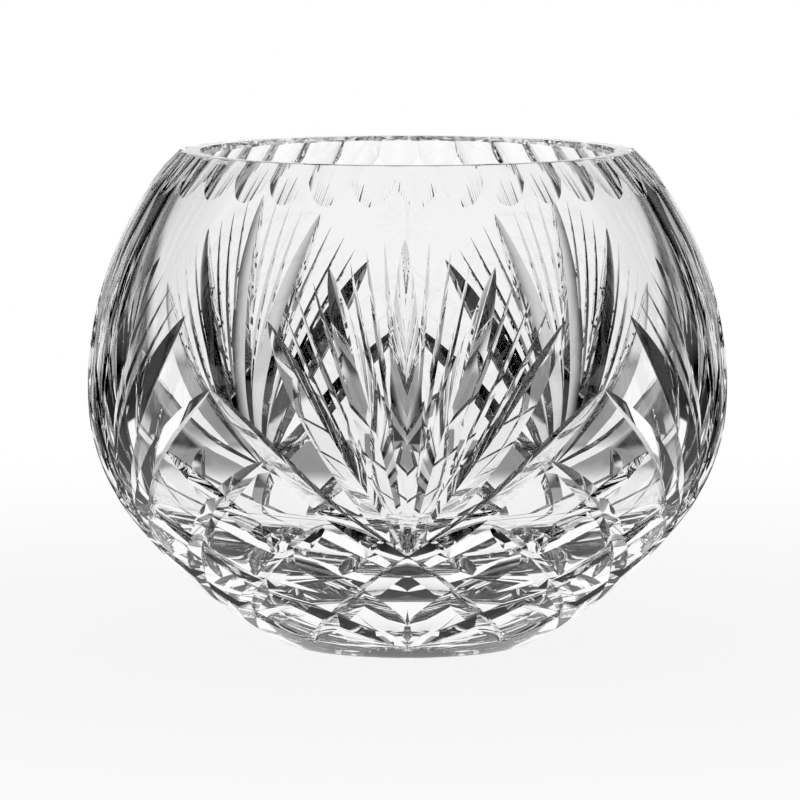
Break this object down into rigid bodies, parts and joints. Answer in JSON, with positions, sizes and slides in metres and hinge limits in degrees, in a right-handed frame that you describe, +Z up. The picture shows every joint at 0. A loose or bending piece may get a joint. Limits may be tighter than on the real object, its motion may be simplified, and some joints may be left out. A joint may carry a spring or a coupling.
{
  "type": "rose bowl vase",
  "caption": "Round cut crystal rose bowl vase with an incurved rim, fan and lattice mitre cuts, a scalloped edge and a flat star-cut base.",
  "frame": {"origin": "centre of the flat base, on the surface that the bowl stands on", "axes": "+Z up along the axis of the bowl, -Y towards the viewer and the middle of the front fan"},
  "size_m": [0.203, 0.2029, 0.156],
  "materials": {
    "crystal": "polished cut crystal"
  },
  "bodies": {
    "root": {"bowl": "crystal"}
  },
  "joints": []
}
